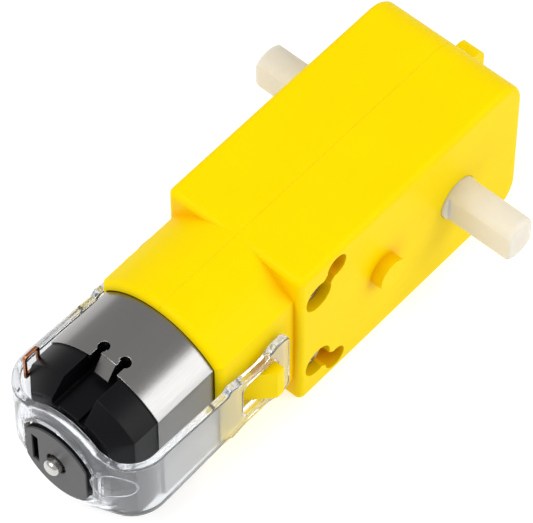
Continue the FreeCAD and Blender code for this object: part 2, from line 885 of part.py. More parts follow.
def gear_train():
    """Crown gear, idler and output gear, in mesh as they stand, and the pins they turn on."""
    shift = size("tooth_shift")
    small = int(size("small_teeth"))
    crown_at = FreeCAD.Vector(-size("crown_offset"), 0, 0)
    idler_at = FreeCAD.Vector(-size("idler_offset"), 0, size("idler_rise"))
    first_line = idler_at - crown_at
    second_line = ORIGIN - idler_at
    first_turn = math.atan2(first_line.z, first_line.x)
    second_turn = math.atan2(second_line.z, second_line.x)
    first_module = 2 * first_line.Length / (small + size("idler_teeth"))
    second_module = 2 * second_line.Length / (small + size("output_teeth"))

    crown_pitch = size("crown_radius")
    face_module = 2 * crown_pitch / size("crown_teeth")
    pinion_pitch = face_module * size("pinion_teeth") / 2
    pinion_tip = pinion_pitch + (ADDENDUM + shift) * face_module
    root_level = -pinion_tip - size("gear_gap")
    tooth_half = size("crown_tooth_half")
    outer = crown_pitch + tooth_half
    bore = size("axle_radius + running_gap")
    excess = size("tool_excess")

    plate = disc(outer, -size("crown_back"), root_level)
    crown = plate.fuse(crown_teeth(face_module, pinion_pitch, outer, crown_pitch - tooth_half, root_level))
    crown = crown.fuse(gear(small, first_module, shift, first_turn, root_level, size("crown_pinion_end")))
    crown = crown.cut(disc(bore, -size("crown_back") - excess, size("crown_pinion_end") + excess))
    computed("crown_gear", crown, "-crown_offset")

    teeth = int(size("idler_teeth"))
    step = size("idler_step")
    idler = gear(teeth, first_module, -shift, first_turn, size("idler_near"), step)
    idler = idler.fuse(gear(small, second_module, shift, second_turn, step, size("idler_far")))
    idler = idler.cut(disc(bore, 0, size("idler_far") + excess))
    computed("idler_gear", idler, "-idler_offset", "idler_rise")

    teeth = int(size("output_teeth"))
    turn = second_turn + math.pi / teeth
    wheel = gear(teeth, second_module, -shift, turn, size("output_near"), size("output_far"))
    computed("output_gear", wheel.cut(hexagon(size("collar_flats"), 0, size("output_far") + excess)))

    for word, x, z in (("crown", "-crown_offset", "0"), ("idler", "-idler_offset", "idler_rise")):
        pin = body(f"{word}_axle")
        section = circle(sketch(pin, f"{word}_axle_round", "XZ_Plane"), "axle_radius")
        pad(pin, section, "case_width - 2 * axle_cover", both=True)
        soften(pin, "Chamfer", "pin_bevel", lambda edge: edge.Curve.TypeId == "Part::GeomCircle")
        bind(pin, Placement__Base__x=x, Placement__Base__z=z)

    teeth = int(size("pinion_teeth"))
    rear = -size("pinion_rear")
    front = -size("pinion_front")
    pinion = gear(teeth, face_module, shift, math.pi / teeth, rear, front)
    pinion = pinion.cut(disc(size("rotor_shaft_radius"), rear - excess, front + excess))
    lay_along_x(pinion)
    computed("motor_pinion", pinion)


def hexagon(flats, start, end):
    """A hexagonal bar about the Y axis, with a corner on +Z."""
    corners = [polar(flats / 2 / math.cos(math.pi / 6), math.pi / 2 + i * math.pi / 3) for i in range(7)]
    bar = Part.Face(Part.makePolygon(corners)).extrude(FreeCAD.Vector(0, end - start, 0))
    bar.translate(FreeCAD.Vector(0, start, 0))
    return bar


def lay_along_x(solid):
    """Turn a solid made about Y so that its Y runs along X and its X along Y."""
    matrix = FreeCAD.Matrix(0, 1, 0, 0, -1, 0, 0, 0, 0, 0, 1, 0, 0, 0, 0, 1)
    solid.transformShape(matrix)


# ---------------------------------------------------------------- motor: what turns

def rotor():
    shaft = body("motor_shaft")
    ends = sketch(shaft, "rotor_shaft_round", "YZ_Plane", "-rotor_shaft_front")
    pad(shaft, circle(ends, "rotor_shaft_radius"), "rotor_shaft_rear - rotor_shaft_front", backwards=True)
    soften(shaft, "Fillet", "rotor_shaft_dome", lambda edge: at_level(edge, "x", -size("rotor_shaft_rear")))
    soften(shaft, "Chamfer", "pin_bevel", lambda edge: at_level(edge, "x", -size("rotor_shaft_front")))

    core = body("armature_core")
    whole = sketch(core, "core_round", "YZ_Plane", "-core_front")
    circle(whole, "core_radius")
    circle(whole, "rotor_shaft_radius")
    pad(core, whole, "core_rear - core_front", backwards=True)
    slot = sketch(core, "core_slot", "YZ_Plane", "-core_front")
    foot = ("core_hub * tan(60) - arm_width / 2 / cos(60)", "core_hub")
    side_turn = "(60 deg - asin(arm_width / 2 / shoe_inner))"
    side = (f"shoe_inner * sin{side_turn}", f"shoe_inner * cos{side_turn}")
    shoulder = ("shoe_inner * sin(shoe_turn)", "shoe_inner * cos(shoe_turn)")
    lip = ("slot_gap / 2", "shoe_inner")
    mouth = ("slot_gap / 2", "core_radius + tool_excess")
    right = [foot, side, shoulder, lip, mouth]
    left = [(f"-({a})", b) for a, b in reversed(right)]
    polygon(slot, right + left)
    around(core, pocket(core, slot), "X_Axis", 3)

    windings = DOC.addObject("Part::Feature", "armature_windings")
    windings.Shape = Part.makeCompound([coil(turn) for turn in (30, 150, 270)])
    keep(windings, "armature_windings")

    sleeve = body("commutator_sleeve")
    front = "core_rear + coil_overhang + sleeve_gap"
    tube = sketch(sleeve, "sleeve_round", "YZ_Plane", f"-({front})")
    circle(tube, "commutator_radius - sleeve_wall")
    circle(tube, "rotor_shaft_radius")
    pad(sleeve, tube, f"commutator_rear + sleeve_overhang - ({front})", backwards=True)

    segments = DOC.addObject("Part::Feature", "commutator_segments")
    segments.Shape = Part.makeCompound([segment(turn) for turn in (0, 120, 240)])
    keep(segments, "commutator_segments")


def coil(turn):
    """One copper winding round an arm of the core, which points along the angle turn from +Y."""
    front = -size("core_front - coil_overhang")
    rear = -size("core_rear + coil_overhang")
    inner = size("coil_inner")
    deep = size("coil_outer") - inner
    wide = size("coil_width")
    block = Part.makeBox(front - rear, deep, wide, FreeCAD.Vector(rear, inner, -wide / 2))
    upright = [edge for edge in block.Edges if runs_along(edge, "y")]
    block = block.makeFillet(size("coil_round"), upright)
    arm = size("arm_width")
    length = size("core_rear - core_front")
    hole = Part.makeBox(length, deep + 2, arm, FreeCAD.Vector(-size("core_rear"), inner - 1, -arm / 2))
    ring = block.cut(hole)
    ring.rotate(ORIGIN, X_AXIS, turn)
    return ring


def segment(turn):
    """A third of the commutator's copper ring, less a gap."""
    front = size("commutator_front")
    length = size("commutator_rear") - front
    radius = size("commutator_radius")
    start = FreeCAD.Vector(-front, 0, 0)
    ring = Part.makeCylinder(radius, length, start, -X_AXIS)
    ring = ring.cut(Part.makeCylinder(radius - size("sleeve_wall"), length, start, -X_AXIS))
    wedge_turn = 60 - math.degrees(size("segment_gap") / 2 / radius)
    far = 2 * radius
    corners = [ORIGIN] + [
        FreeCAD.Vector(0, far * math.cos(math.radians(a)), far * math.sin(math.radians(a)))
        for a in (-wedge_turn, 0, wedge_turn)
    ] + [ORIGIN]
    wedge = Part.Face(Part.makePolygon(corners)).extrude(FreeCAD.Vector(-size("cap_rear"), 0, 0))
    third = ring.common(wedge)
    third.rotate(ORIGIN, X_AXIS, turn)
    return third


# ---------------------------------------------------------------- motor: what stands still

def stator():
    can = body("motor_can")
    shell = sketch(can, "can_outline", "YZ_Plane", "-can_front")
    flatted_circle(shell, "can_radius", "can_width / 2")
    pad(can, shell, "can_rear - can_front", backwards=True)
    soften(can, "Fillet", "can_wall", lambda edge: at_level(edge, "x", -size("can_front")))
    hollow = sketch(can, "can_hollow", "YZ_Plane", "-can_front - can_wall")
    flatted_circle(hollow, "can_radius - can_wall", "can_width / 2 - can_wall")
    pocket(can, hollow, "can_rear")
    boss = circle(sketch(can, "can_boss", "YZ_Plane", "-can_front - can_wall"), "motor_boss_radius")
    pad(can, boss, "can_front + can_wall - motor_boss_front")
    hole = circle(sketch(can, "can_boss_hole", "YZ_Plane", "-motor_boss_front + tool_excess"), "bush_radius")
    pocket(can, hole, "can_front")
    notches = sketch(can, "rim_notches", "XY_Plane", "-can_radius - tool_excess")
    for side in ("1", "-1"):
        middle = f"{side} * rim_notch_place"
        rectangle(
            notches,
            ("-can_rear - tool_excess", "-can_rear + rim_notch_depth"),
            (f"{middle} - rim_notch_width / 2", f"{middle} + rim_notch_width / 2"),
        )
    pocket(can, notches, "3 * can_radius", backwards=True)
    ends = sketch(can, "rim_notch_ends", "XY_Plane", "-can_radius - tool_excess")
    for side in ("1", "-1"):
        circle(ends, "rim_notch_end", ("-can_rear + rim_notch_depth", f"{side} * rim_notch_place"))
    pocket(can, ends, "3 * can_radius", backwards=True)
    flap = sketch(can, "rim_flaps", "XY_Plane", "-can_radius - tool_excess")
    rectangle(
        flap,
        ("-can_rear - tool_excess", "-rim_tab_bend"),
        ("-rim_notch_place", "rim_notch_place"),
    )
    pocket(can, flap, "3 * can_radius", backwards=True)
    top = "can_radius - rim_tab_sink"
    under = "rim_tab_thickness"
    for word, up in (("upper", "1"), ("lower", "-1")):
        tab = sketch(can, f"{word}_rim_tab", "XZ_Plane")
        polygon(tab, [(f"-({x})", f"{up} * ({z})") for x, z in (
            ("rim_tab_start", top),
            ("rim_tab_bend", top),
            ("rim_tab_rear", "rim_tab_tip"),
            (f"rim_tab_rear - {under}", "rim_tab_tip"),
            (f"rim_tab_bend - {under} / 2", f"{top} - {under}"),
            ("rim_tab_start", f"{top} - {under}"),
        )])
        pad(can, tab, "2 * rim_tab_half", both=True)

    for label, low, high in (
        ("magnet_upper", "0", "can_radius"),
        ("magnet_lower", "-can_radius", "0"),
    ):
        span = ("-magnet_rear", "-magnet_front")
        ring = cut(f"{label}_ring", rod(f"{label}_outside", "X", "magnet_outer", span), [
            rod(f"{label}_inside", "X", "magnet_inner", span),
        ])
        part = box(f"{label}_part", span, ("-magnet_half_width", "magnet_half_width"), (low, high))
        keep(common(label, [ring, part]), label)

    spring = body("magnet_spring")
    route = sketch(spring, "spring_route", "XZ_Plane", "-spring_depth")
    open_end = "-magnet_rear + spring_inset"
    u_route(route, open_end, "-spring_front", "spring_height", "spring_round")
    section = sketch(spring, "spring_section", "YZ_Plane", open_end)
    circle(section, "spring_wire", ("spring_depth", "spring_height"))
    pipe = spring.newObject("PartDesign::AdditivePipe", "spring_pipe")
    pipe.Profile = section
    pipe.Spine = (route, ["Edge1", "Edge2", "Edge3", "Edge4", "Edge5"])
    DOC.recompute()

    for label, front, rear in (
        ("front_bush", "motor_boss_front", "can_front + can_wall + bush_overhang"),
        ("rear_bush", "bush_front", "bush_rear"),
    ):
        bush = body(label)
        ring = sketch(bush, f"{label}_ring", "YZ_Plane", f"-{front}")
        circle(ring, "bush_radius")
        circle(ring, "rotor_shaft_radius + bush_gap")
        pad(bush, ring, f"{rear} - {front}", backwards=True)


def u_route(drawing, open_end, closed_end, half_height, bend):
    """An open U of two legs along the first axis, joined at closed_end with rounded corners."""
    a = size(open_end)
    b = size(closed_end)
    tall = size(half_height)
    r = size(bend)
    corner_up = FreeCAD.Vector(b - r, tall - r, 0)
    corner_down = FreeCAD.Vector(b - r, r - tall, 0)
    quarter = math.pi / 2

    def leg(start, end):
        return Part.LineSegment(FreeCAD.Vector(*start, 0), FreeCAD.Vector(*end, 0))

    for line in (
        leg((a, tall), (b - r, tall)),
        Part.ArcOfCircle(Part.Circle(corner_up, Z_AXIS, r), 0, quarter),
        leg((b, tall - r), (b, r - tall)),
        Part.ArcOfCircle(Part.Circle(corner_down, Z_AXIS, r), -quarter, 0),
        leg((b - r, -tall), (a, -tall)),
    ):
        drawing.addGeometry(line, False)
    for one, end, other, start in ((0, 2, 1, 2), (1, 1, 2, 1), (2, 2, 3, 2), (3, 1, 4, 1)):
        drawing.addConstraint(Sketcher.Constraint("Coincident", one, end, other, start))
    fix_point(drawing, 0, 1, (open_end, half_height))
    fix_point(drawing, 4, 2, (open_end, f"-{half_height}"))
    fix_point(drawing, 1, 3, (f"{closed_end} - {bend}", f"{half_height} - {bend}"))
    fix_point(drawing, 3, 3, (f"{closed_end} - {bend}", f"{bend} - {half_height}"))
    return drawing


def end_cap():
    """Moulded cap: a plug in the can's mouth, the body behind it with a channel each side, and a boss."""
    cap = body("motor_end_cap")
    main = sketch(cap, "cap_outline", "YZ_Plane", "-can_rear")
    flatted_circle(main, "cap_radius", "cap_width / 2")
    pad(cap, main, "cap_rear - can_rear", backwards=True)
    soften(cap, "Chamfer", "cap_bevel", lambda edge: at_level(edge, "x", -size("cap_rear")))
    plug = sketch(cap, "cap_plug", "YZ_Plane", "-cap_plug_front")
    inset = "can_wall - plug_gap"
    flatted_circle(plug, f"can_radius - {inset}", f"can_width / 2 - {inset}")
    pad(cap, plug, "can_rear - cap_plug_front", backwards=True)
    boss = sketch(cap, "cap_boss", "YZ_Plane", "-cap_rear")
    flatted_circle(boss, "cap_boss_radius", "cap_boss_width / 2")
    pad(cap, boss, "cap_boss_rear - cap_rear", backwards=True)
    for word, up in (("upper", "1"), ("lower", "-1")):
        channel = sketch(cap, f"{word}_channel", "YZ_Plane", "-channel_start")
        half = "channel_width / 2"
        outside = f"{up} * (can_radius + tool_excess)"
        floor = f"{up} * channel_floor"
        raised = f"{up} * (channel_floor + rib_height)"
        polygon(channel, [
            (f"-{half}", outside),
            (f"-{half}", floor),
            ("-rib_half", floor),
            ("-rib_half", raised),
            ("rib_half", raised),
            ("rib_half", floor),
            (half, floor),
            (half, outside),
        ])
        pocket(cap, channel, "can_front")
    before = "cap_plug_front - tool_excess"
    cavity = circle(sketch(cap, "cap_cavity_round", "YZ_Plane", f"-({before})"), "cap_cavity")
    pocket(cap, cavity, f"bush_front - cavity_floor - ({before})")
    seat = circle(sketch(cap, "bush_seat", "YZ_Plane", f"-({before})"), "bush_radius")
    pocket(cap, seat, f"bush_rear - ({before})")
    opening = circle(sketch(cap, "shaft_opening_round", "YZ_Plane", f"-({before})"), "shaft_opening")
    pocket(cap, opening)
    slot = sketch(cap, "boss_slot", "YZ_Plane", "-cap_boss_rear - tool_excess")
    rectangle(
        slot,
        ("slot_place - slot_width / 2", "slot_place + slot_width / 2"),
        ("-slot_height / 2", "slot_height / 2"),
    )
    pocket(cap, slot, "tool_excess + slot_depth", backwards=True)
    roots = sketch(cap, "terminal_roots", "YZ_Plane", "-terminal_front")
    for low, high in (("terminal_root", "can_radius"), ("-can_radius", "-terminal_root")):
        rectangle(roots, ("terminal_place", "cap_width / 2 + tool_excess"), (low, high))
    pocket(cap, roots, "terminal_rear - terminal_front")


def terminals_and_brushes():
    """Two eyed copper tabs beside the cap, and two leaves that bear on the commutator."""
    tabs = []
    leaves = []
    for word, level in (("upper", 1), ("lower", -1)):
        heights = ("terminal_root", "terminal_tip") if level > 0 else ("-terminal_tip", "-terminal_root")
        plate = box(
            f"{word}_terminal_plate",
            ("-terminal_rear", "-terminal_front"),
            ("terminal_place", "terminal_place + terminal_thickness"),
            heights,
        )
        eye = rod(
            f"{word}_terminal_eye", "Y", "terminal_eye",
            ("terminal_place - tool_excess", "terminal_place + tool_excess"),
            ("-(terminal_rear + terminal_front) / 2", f"{level} * (terminal_tip - terminal_eye_inset)"),
        )
        tabs.append(cut(f"{word}_terminal", plate, [eye]))
        near = "commutator_radius + brush_gap"
        span = (near, f"{near} + brush_thickness")
        if level < 0:
            span = (f"-({near} + brush_thickness)", f"-({near})")
        leaves.append(box(
            f"{word}_brush",
            ("-commutator_rear + brush_inset", "-commutator_rear + brush_inset + brush_width"),
            ("-commutator_radius", "cap_cavity - brush_end_gap"),
            span,
        ))
    for label, things in (("terminals", tabs), ("brushes", leaves)):
        group = DOC.addObject("Part::Compound", label)
        group.Links = things
        keep(group, label)


# ---------------------------------------------------------------- retaining strap

def retaining_strap():
    """A band that clips over the neck's hooks and wraps round the back of the motor."""
    strap = body("retaining_strap")
    half = "neck_width / 2 + strap_side_gap"
    back = "-cap_rear - strap_back_gap"
    thick = "strap_thickness"
    band = sketch(strap, "strap_band", "XY_Plane")
    polygon(band, [
        ("-strap_front", half),
        ("-strap_front", f"{half} + {thick}"),
        (f"{back} - {thick}", f"{half} + {thick}"),
        (f"{back} - {thick}", f"-({half} + {thick})"),
        ("-strap_front", f"-({half} + {thick})"),
        ("-strap_front", f"-({half})"),
        (back, f"-({half})"),
        (back, half),
    ])
    pad(strap, band, "2 * clip_end_half", both=True)
    for amount, reach in (
        ("strap_corner", f"{half} + {thick}"),
        ("strap_corner - strap_thickness", half),
    ):
        soften(strap, "Fillet", amount, lambda edge: rear_corner(edge, size(reach)))
    beyond = "clip_end_half + tool_excess"
    end = f"{back} - {thick} - tool_excess"
    outline = [
        ("-clip_end_rear", "clip_end_half"),
        ("-clip_waist_front", "clip_waist_half"),
        ("-clip_waist_rear", "clip_waist_half"),
        ("-clip_shoulder", "clip_shoulder_half"),
        ("-clip_rear", "strap_middle_half"),
        ("-strap_slope_rear", "strap_rear_half"),
        (end, "strap_rear_half"),
        (end, beyond),
        ("-clip_end_rear", beyond),
    ]
    for word, across in (("upper", "1"), ("lower", "-1")):
        waste = sketch(strap, f"strap_{word}_outline", "XZ_Plane", "case_width")
        polygon(waste, [(x, f"{across} * ({z})") for x, z in outline])
        pocket(strap, waste, "2 * case_width")
    soften(strap, "Fillet", "clip_end_round", clip_corner)
    plate = circle(sketch(strap, "strap_plate", "YZ_Plane", back), "strap_plate_radius")
    pad(strap, plate, thick, backwards=True)
    window = sketch(strap, "strap_window", "YZ_Plane", f"{back} + tool_excess")
    flatted_circle(window, "cap_boss_radius + strap_window_gap", "cap_boss_width / 2 + strap_window_gap")
    pocket(strap, window, "strap_thickness + 2 * tool_excess")
    clips = sketch(strap, "clip_windows", "XZ_Plane", "case_width")
    rectangle(
        clips,
        ("-clip_window_rear", "-clip_window_front"),
        ("-clip_window_height / 2", "clip_window_height / 2"),
    )
    pocket(strap, clips, "2 * case_width")


def clip_corner(edge):
    """True for the two corners at each of the strap's front ends."""
    place = edge.CenterOfMass
    return (
        runs_along(edge, "y")
        and abs(place.x + size("strap_front")) < SAME_PLACE
        and abs(abs(place.z) - size("clip_end_half")) < SAME_PLACE
    )


def rear_corner(edge, reach):
    """True for an upright edge behind the can, at a distance either side of the middle."""
    place = edge.CenterOfMass
    return runs_along(edge, "z") and place.x < -size("can_rear") and abs(abs(place.y) - reach) < SAME_PLACE


def finish():
    """Stop on any failed object, then write each node's solid."""
    DOC.recompute()
    for thing in DOC.Objects:
        if "Invalid" in thing.State or "Error" in thing.State:
            raise ValueError(f"{thing.Name} failed: {thing.State}")
    os.makedirs("parts", exist_ok=True)
    for piece in PIECES:
        if piece.Shape.isNull() or not piece.Shape.isValid():
            raise ValueError(f"{piece.Label} has no valid shape")
        piece.Shape.exportStep(f"parts/{piece.Label}.step")
        print(f"{piece.Label}: {len(piece.Shape.Solids)} solids, {piece.Shape.Volume:.1f} mm3")


gearcase()
case_screws()
output_shaft()
shaft_washers()
gear_train()
rotor()
stator()
end_cap()
terminals_and_brushes()
retaining_strap()
finish()
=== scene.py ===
"""Looks of the geared DC motor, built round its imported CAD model.

Shapes are drawn in millimetres, which MM scales to metres. The lamps and the floor are in metres.
"""

import math

import bmesh
import bpy
from mathutils import Matrix, Vector


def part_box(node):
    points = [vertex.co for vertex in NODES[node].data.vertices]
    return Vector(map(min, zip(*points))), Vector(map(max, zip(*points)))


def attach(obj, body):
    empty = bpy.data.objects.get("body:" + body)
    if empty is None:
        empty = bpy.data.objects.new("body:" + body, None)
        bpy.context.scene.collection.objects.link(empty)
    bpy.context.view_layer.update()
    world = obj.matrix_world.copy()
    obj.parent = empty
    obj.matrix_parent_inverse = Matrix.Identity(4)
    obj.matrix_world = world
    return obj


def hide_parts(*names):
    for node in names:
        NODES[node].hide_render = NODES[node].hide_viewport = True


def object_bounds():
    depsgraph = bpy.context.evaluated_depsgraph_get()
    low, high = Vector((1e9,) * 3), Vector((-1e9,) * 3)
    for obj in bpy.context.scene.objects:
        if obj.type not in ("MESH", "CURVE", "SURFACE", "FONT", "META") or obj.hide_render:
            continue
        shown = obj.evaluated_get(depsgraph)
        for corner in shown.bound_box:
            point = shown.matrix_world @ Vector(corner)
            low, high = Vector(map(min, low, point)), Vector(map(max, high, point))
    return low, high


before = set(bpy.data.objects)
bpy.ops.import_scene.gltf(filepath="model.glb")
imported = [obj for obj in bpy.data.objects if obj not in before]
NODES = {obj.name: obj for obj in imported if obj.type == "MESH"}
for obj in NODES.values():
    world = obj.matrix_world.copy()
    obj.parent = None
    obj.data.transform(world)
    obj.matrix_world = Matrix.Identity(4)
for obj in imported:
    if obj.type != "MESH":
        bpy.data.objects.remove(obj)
CAD_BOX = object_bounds()
MM = 0.001


def box_of(node):
    """The lowest and highest corner of a CAD node, in millimetres."""
    low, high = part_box(node)
    return low / MM, high / MM


# ---------------------------------------------------------------- material building blocks

def add(tree, kind, inputs=None, **settings):
    """A shader node with its settings, and its inputs set to a value or joined to another node's output."""
    made = tree.nodes.new("ShaderNode" + kind)
    for name, value in settings.items():
        setattr(made, name, value)
    for name, value in (inputs or {}).items():
        if isinstance(value, bpy.types.NodeSocket):
            tree.links.new(value, made.inputs[name])
        else:
            made.inputs[name].default_value = value
    return made


def grey(level):
    return (level, level, level)


def scaled(colour, factor):
    return tuple(min(1.0, channel * factor) for channel in colour)


def noise(tree, size, stretch=(1, 1, 1), detail=4.0, roughness=0.55):
    """Fractal noise whose features are about this many millimetres across, longer along stretched axes."""
    place = add(tree, "TexCoord").outputs["Object"]
    scale = [1 / (MM * size * part) for part in stretch]
    mapped = add(tree, "Mapping", {"Vector": place, "Scale": scale})
    made = add(tree, "TexNoise", {
        "Vector": mapped.outputs["Vector"], "Scale": 1.0, "Detail": detail, "Roughness": roughness,
    })
    return made.outputs["Fac"]


def spread(tree, value, low, high, low_in=0.35, high_in=0.65):
    """A 0 to 1 value stretched to run between two others."""
    made = add(tree, "MapRange", {
        "Value": value, "From Min": low_in, "From Max": high_in, "To Min": low, "To Max": high,
    })
    return made.outputs["Result"]


def blended(tree, factor, first, second):
    """A colour between two others, each a socket or three numbers."""
    made = tree.nodes.new("ShaderNodeMix")
    made.data_type = "RGBA"
    ends = {"A": first, "B": second}
    colour_sockets = [socket for socket in made.inputs if socket.type == "RGBA"]
    for socket in colour_sockets:
        value = ends[socket.name]
        if isinstance(value, bpy.types.NodeSocket):
            tree.links.new(value, socket)
        else:
            socket.default_value = (*value, 1)
    tree.links.new(factor, made.inputs["Factor"])
    return [socket for socket in made.outputs if socket.type == "RGBA"][0]


def edge_mask(tree, radius):
    """A rounded normal, and how much it differs from the flat one: about 1 along edges, 0 on flats."""
    soft = add(tree, "Bevel", {"Radius": radius * MM}, samples=6)
    flat = add(tree, "NewGeometry")
    likeness = add(tree, "VectorMath", {0: soft.outputs["Normal"], 1: flat.outputs["Normal"]})
    likeness.operation = "DOT_PRODUCT"
    mask = spread(tree, likeness.outputs["Value"], 1.0, 0.0, low_in=0.80, high_in=0.995)
    return soft.outputs["Normal"], mask


def surface(name, colour, shade, patch, rough, grain, depth, edge,
            stretch=(1, 1, 1), edge_wear_and_highlight=None, streak=None, painted_sheen=None, painted_recess_shade=None, **sockets):
    """A material with broad colour patches, fine grain in its bump and roughness, and edges painted lighter,
    partly as wear and partly as a painted highlight.

    `patch` and `grain` are the sizes of features, `depth` is the grain's height and `edge` is the
    radius that edges seem to have, all in millimetres. `shade` scales the colour of the patches.
    `rough` is the lowest and highest roughness, and `edge_wear_and_highlight` is the lighter colour of
    edges, partly wear and partly a painted highlight.
    `streak` is the size in millimetres, the stretch and the shade of darker lines.
    `painted_sheen` is a place along X, in millimetres, and the paler colour painted on everything behind it
    as a painted reflection.
    `painted_recess_shade` is a reach in millimetres and the deeper orange colour painted as shade into
    recesses and inner corners.
    """
    made = bpy.data.materials.new(name)
    made.use_nodes = True
    tree = made.node_tree
    shader = tree.nodes["Principled BSDF"]
    broad = noise(tree, patch, stretch)
    fine = noise(tree, grain, stretch, detail=6.0, roughness=0.65)
    tint = blended(tree, spread(tree, broad, 0, 1), scaled(colour, shade), colour)
    if streak:
        size, stretched, darker = streak
        lines = noise(tree, size, stretched, detail=3.0)
        tint = blended(tree, spread(tree, lines, 0, 1), scaled(colour, darker), tint)
    # Painted reflection: everything behind a place along X gets a paler colour that stands in for sheen from
    # the floor.
    if painted_sheen:
        limit, sheen_colour = painted_sheen
        place = add(tree, "TexCoord").outputs["Object"]
        along = add(tree, "SeparateXYZ", {"Vector": place}).outputs["X"]
        soft = 0.05
        behind = spread(tree, along, 0, 1, low_in=(limit + soft) * MM, high_in=(limit - soft) * MM)
        tint = blended(tree, behind, tint, sheen_colour)
    # Painted shade: the colour turns deeper orange where ambient occlusion finds nearby surfaces, in
    # recesses and inner corners.
    if painted_recess_shade:
        reach, painted_shade_colour = painted_recess_shade
        openness = add(tree, "AmbientOcclusion", {"Distance": reach * MM}, samples=8, only_local=True)
        closed = spread(tree, openness.outputs["AO"], 1, 0, low_in=0.35, high_in=0.95)
        tint = blended(tree, closed, tint, painted_shade_colour)
    normal, mask = edge_mask(tree, edge)
    # Edges get a lighter colour, broken up by the patches: partly wear, partly a painted highlight.
    if edge_wear_and_highlight:
        broken = add(tree, "Math", {0: mask, 1: spread(tree, broad, 0.3, 1.0)}, operation="MULTIPLY")
        tint = blended(tree, broken.outputs[0], tint, edge_wear_and_highlight)
    bump = add(tree, "Bump", {"Height": fine, "Distance": depth * MM, "Strength": 1.0, "Normal": normal})
    tree.links.new(tint, shader.inputs["Base Color"])
    tree.links.new(spread(tree, fine, *rough), shader.inputs["Roughness"])
    tree.links.new(bump.outputs["Normal"], shader.inputs["Normal"])
    for socket, value in sockets.items():
        shader.inputs[socket.replace("_", " ")].default_value = value
    return made


ALONG_MOTOR = (30, 1, 1)
# Each finish's lighter edge colour is partly wear and partly a painted highlight.
FINISHES = {
    "yellow_plastic": surface(
        "yellow_abs", (0.86, 0.632, 0.0), shade=0.965, patch=9, rough=(0.34, 0.44), grain=0.16,
        # Recesses and inner corners get an orange painted shade.
        depth=0.012, edge=0.12, edge_wear_and_highlight=(0.93, 0.74, 0.005), painted_recess_shade=(3.0, (0.84, 0.40, 0.0)),
        Specular_IOR_Level=0.03, Subsurface_Weight=0.08,
        Subsurface_Radius=(0.9, 0.5, 0.02), Subsurface_Scale=0.8 * MM,
    ),
    "nylon_white": surface(
        "milky_nylon", (0.70, 0.655, 0.565), shade=0.95, patch=5, rough=(0.36, 0.5), grain=0.3,
        depth=0.012, edge=0.7, edge_wear_and_highlight=(0.76, 0.73, 0.66), Specular_IOR_Level=0.25, Subsurface_Weight=0.5,
        Subsurface_Radius=(1.0, 0.8, 0.5), Subsurface_Scale=1.5 * MM,
    ),
    "gear_white": surface(
        "gear_nylon", (0.80, 0.79, 0.73), shade=0.92, patch=4, rough=(0.4, 0.52), grain=0.2,
        depth=0.010, edge=0.1, edge_wear_and_highlight=(0.9, 0.9, 0.86), Subsurface_Weight=0.3,
        Subsurface_Radius=(1.0, 0.9, 0.7), Subsurface_Scale=0.8 * MM,
    ),
    "zinc_screw": surface(
        "zinc_plate", (0.42, 0.37, 0.27), shade=0.7, patch=1.2, rough=(0.22, 0.4), grain=0.15,
        depth=0.006, edge=0.08, edge_wear_and_highlight=(0.85, 0.84, 0.80), Metallic=1.0,
    ),
    "pin_steel": surface(
        "ground_steel", (0.58, 0.57, 0.55), shade=0.88, patch=2, rough=(0.16, 0.30), grain=0.10,
        depth=0.004, edge=0.06, edge_wear_and_highlight=(0.8, 0.8, 0.79), Metallic=1.0,
    ),
    "can_steel": surface(
        "drawn_steel", (0.27, 0.265, 0.26), shade=0.90, patch=5, rough=(0.20, 0.27), grain=0.10,
        depth=0.001, stretch=ALONG_MOTOR, edge=0.12, edge_wear_and_highlight=(0.45, 0.45, 0.44),
        streak=(0.9, ALONG_MOTOR, 0.95), Metallic=1.0,
    ),
    "lamination_steel": surface(
        "stamped_layers", (0.30, 0.29, 0.28), shade=0.7, patch=3, rough=(0.35, 0.5), grain=0.5,
        depth=0.03, stretch=(1, 20, 20), edge=0.08, edge_wear_and_highlight=(0.5, 0.5, 0.48), Metallic=1.0,
    ),
    "copper": surface(
        "enamelled_copper", (0.55, 0.20, 0.09), shade=0.7, patch=2, rough=(0.22, 0.4), grain=0.3,
        depth=0.02, edge=0.08, edge_wear_and_highlight=(0.9, 0.5, 0.3), Metallic=1.0,
    ),
    "bronze": surface(
        "sintered_bronze", (0.55, 0.36, 0.18), shade=0.75, patch=1.5, rough=(0.4, 0.6), grain=0.12,
        depth=0.012, edge=0.08, edge_wear_and_highlight=(0.75, 0.55, 0.3), Metallic=1.0,
    ),
    "brass": surface(
        "turned_brass", (0.78, 0.56, 0.22), shade=0.85, patch=2, rough=(0.2, 0.34), grain=0.12,
        depth=0.005, edge=0.06, edge_wear_and_highlight=(0.9, 0.75, 0.42), Metallic=1.0,
    ),
    "black_plastic": surface(
        "black_moulding", (0.003, 0.0033, 0.0042), shade=0.7, patch=4, rough=(0.30, 0.42), grain=0.14,
        # The end cap's rearmost face, behind x = -54.1, is painted paler as a painted reflection of the
        # floor.
        depth=0.006, edge=0.18, edge_wear_and_highlight=(0.02, 0.02, 0.022), painted_sheen=(-54.1, (0.075, 0.075, 0.077)),
        Specular_IOR_Level=0.13,
    ),
    "ferrite": surface(
        "ferrite", (0.035, 0.034, 0.036), shade=0.75, patch=3, rough=(0.5, 0.7), grain=0.2,
        depth=0.015, edge=0.1, edge_wear_and_highlight=(0.09, 0.09, 0.09),
    ),
    "clear_plastic": surface(
        "clear_moulding", (0.90, 0.925, 0.96), shade=0.97, patch=7, rough=(0.05, 0.10), grain=1.5,
        depth=0.006, edge=0.1, Transmission_Weight=0.95, IOR=1.46,
    ),
}
